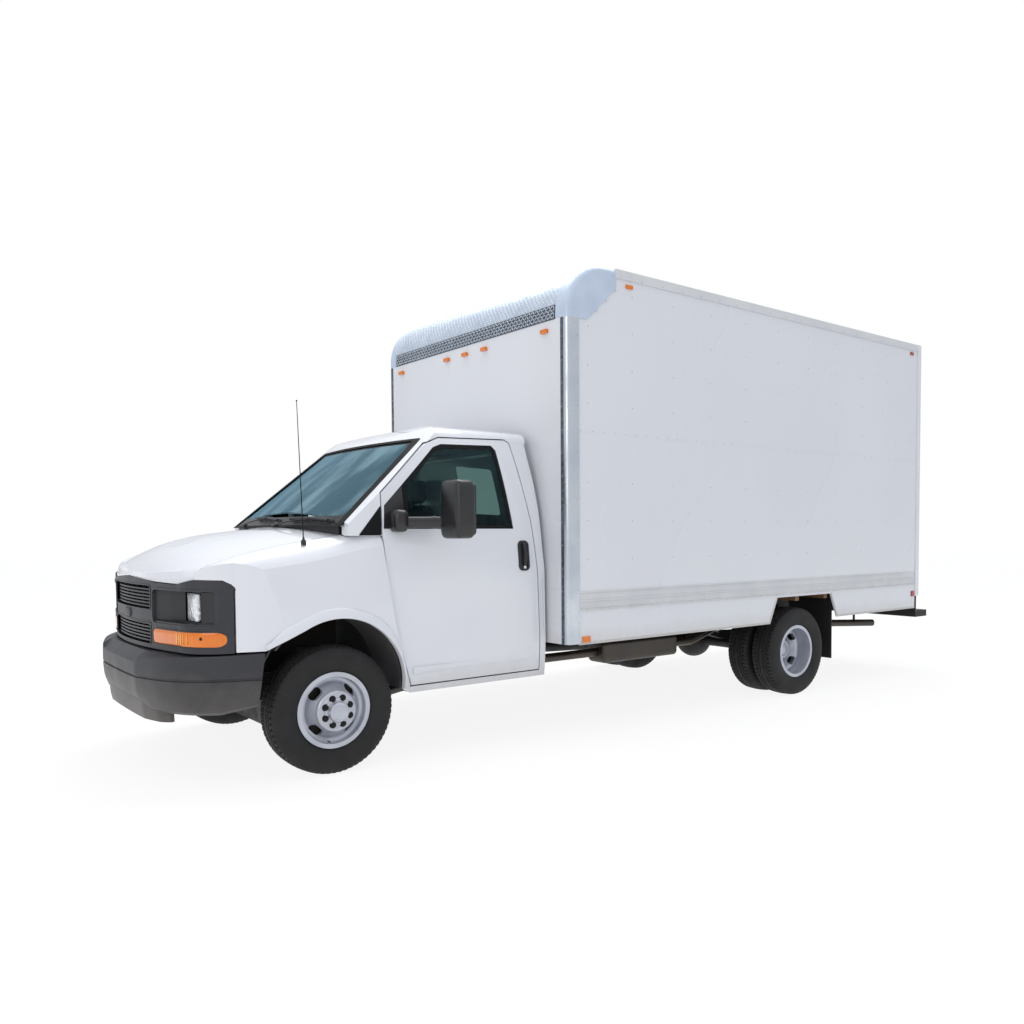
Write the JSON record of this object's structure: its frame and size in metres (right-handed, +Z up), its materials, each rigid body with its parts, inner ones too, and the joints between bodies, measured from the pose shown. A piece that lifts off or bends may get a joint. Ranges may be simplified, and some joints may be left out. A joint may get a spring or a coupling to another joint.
{
  "type": "box truck",
  "caption": "Box truck: a two-door van cab with a tall square van body behind it, steered front wheels, twin rear wheels, opening doors and hood.",
  "frame": {"origin": "on the ground, under the middle of the truck's overall length and width", "axes": "+X towards the rear along the length, +Y to the truck's right as it drives, +Z up"},
  "size_m": [7.08, 2.684, 3.175],
  "materials": {
    "white_paint": "gloss",
    "body_panel_paint": "satin",
    "black_plastic": "matte",
    "grey_plastic": "matte",
    "glass": "clear",
    "lamp_glass": "clear",
    "amber_lens": "gloss",
    "red_lens": "gloss",
    "aluminium": "satin",
    "frame_steel": "satin",
    "raw_steel": "dull",
    "cast_iron": "rough",
    "wheel_steel": "satin",
    "tyre_rubber": "matte",
    "seat_cloth": "woven",
    "flap_rubber": "matte",
    "floor_boards": "oiled"
  },
  "bodies": {
    "chassis": {"frame_rails": "frame_steel", "engine": "cast_iron", "drive_shaft": "frame_steel", "front_suspension": "frame_steel", "rear_axle": "frame_steel", "rear_springs": "frame_steel", "fuel_tank": "frame_steel", "exhaust": "raw_steel", "cab_floor": "white_paint", "cab_back": "white_paint", "cab_sides": "white_paint", "cab_roof": "white_paint", "cowl": "black_plastic", "windscreen": "glass", "fenders": "white_paint", "lamp_surround": "grey_plastic", "headlamps": "lamp_glass", "turn_lamps": "amber_lens", "front_bumper": "grey_plastic", "wheel_liners": "black_plastic", "dashboard": "grey_plastic", "seats": "seat_cloth", "box_floor": "floor_boards", "box_sides": "body_panel_paint", "box_front_wall": "body_panel_paint", "box_roof": "body_panel_paint", "box_nose": "aluminium", "corner_castings": "aluminium", "box_rails": "aluminium", "box_skirts": "body_panel_paint", "rear_frame": "body_panel_paint", "rear_door": "body_panel_paint", "rear_bumper": "frame_steel", "mud_flaps": "flap_rubber", "amber_lamps": "amber_lens", "red_lamps": "red_lens"},
    "knuckle_left": {"knuckle_left": "cast_iron"},
    "front_wheel_left": {"front_tyre_left": "tyre_rubber", "front_rim_left": "wheel_steel"},
    "rear_wheels_left": {"rear_tyres_left": "tyre_rubber", "rear_rims_left": "wheel_steel"},
    "door_left": {"door_left": "white_paint", "door_glass_left": "glass", "mirror_left": "black_plastic"},
    "knuckle_right": {"knuckle_right": "cast_iron"},
    "front_wheel_right": {"front_tyre_right": "tyre_rubber", "front_rim_right": "wheel_steel"},
    "rear_wheels_right": {"rear_tyres_right": "tyre_rubber", "rear_rims_right": "wheel_steel"},
    "door_right": {"door_right": "white_paint", "door_glass_right": "glass", "mirror_right": "black_plastic"},
    "hood": {"hood": "white_paint"}
  },
  "joints": [
    {"name": "steer_left", "type": "hinge", "parent": "chassis", "child": "knuckle_left", "pos_m": [-2.61, -0.78, 0.372], "axis": [0, 0, 1], "range_deg": [-32, 32]},
    {"name": "front_wheel_left_spin", "type": "hinge", "parent": "knuckle_left", "child": "front_wheel_left", "pos_m": [-2.61, -0.869, 0.372], "axis": [0, 1, 0], "continuous": true},
    {"name": "rear_wheels_left_spin", "type": "hinge", "parent": "chassis", "child": "rear_wheels_left", "pos_m": [1.429, -0.961, 0.372], "axis": [0, 1, 0], "continuous": true},
    {"name": "door_left_hinge", "type": "hinge", "parent": "chassis", "child": "door_left", "pos_m": [-2.308, -0.9755, 0.9], "axis": [0, 0, -1], "range_deg": [0, 65]},
    {"name": "steer_right", "type": "hinge", "parent": "chassis", "child": "knuckle_right", "pos_m": [-2.61, 0.78, 0.372], "axis": [0, 0, 1], "range_deg": [-32, 32]},
    {"name": "front_wheel_right_spin", "type": "hinge", "parent": "knuckle_right", "child": "front_wheel_right", "pos_m": [-2.61, 0.869, 0.372], "axis": [0, 1, 0], "continuous": true},
    {"name": "rear_wheels_right_spin", "type": "hinge", "parent": "chassis", "child": "rear_wheels_right", "pos_m": [1.429, 0.961, 0.372], "axis": [0, 1, 0], "continuous": true},
    {"name": "door_right_hinge", "type": "hinge", "parent": "chassis", "child": "door_right", "pos_m": [-2.308, 0.9755, 0.9], "axis": [0, 0, 1], "range_deg": [0, 65]},
    {"name": "hood_hinge", "type": "hinge", "parent": "chassis", "child": "hood", "pos_m": [-2.515, 0, 1.455], "axis": [0, 1, 0], "range_deg": [0, 50]}
  ],
  "couplings": [
    {"joint": "steer_right", "follows": "steer_left", "ratio": 1}
  ]
}
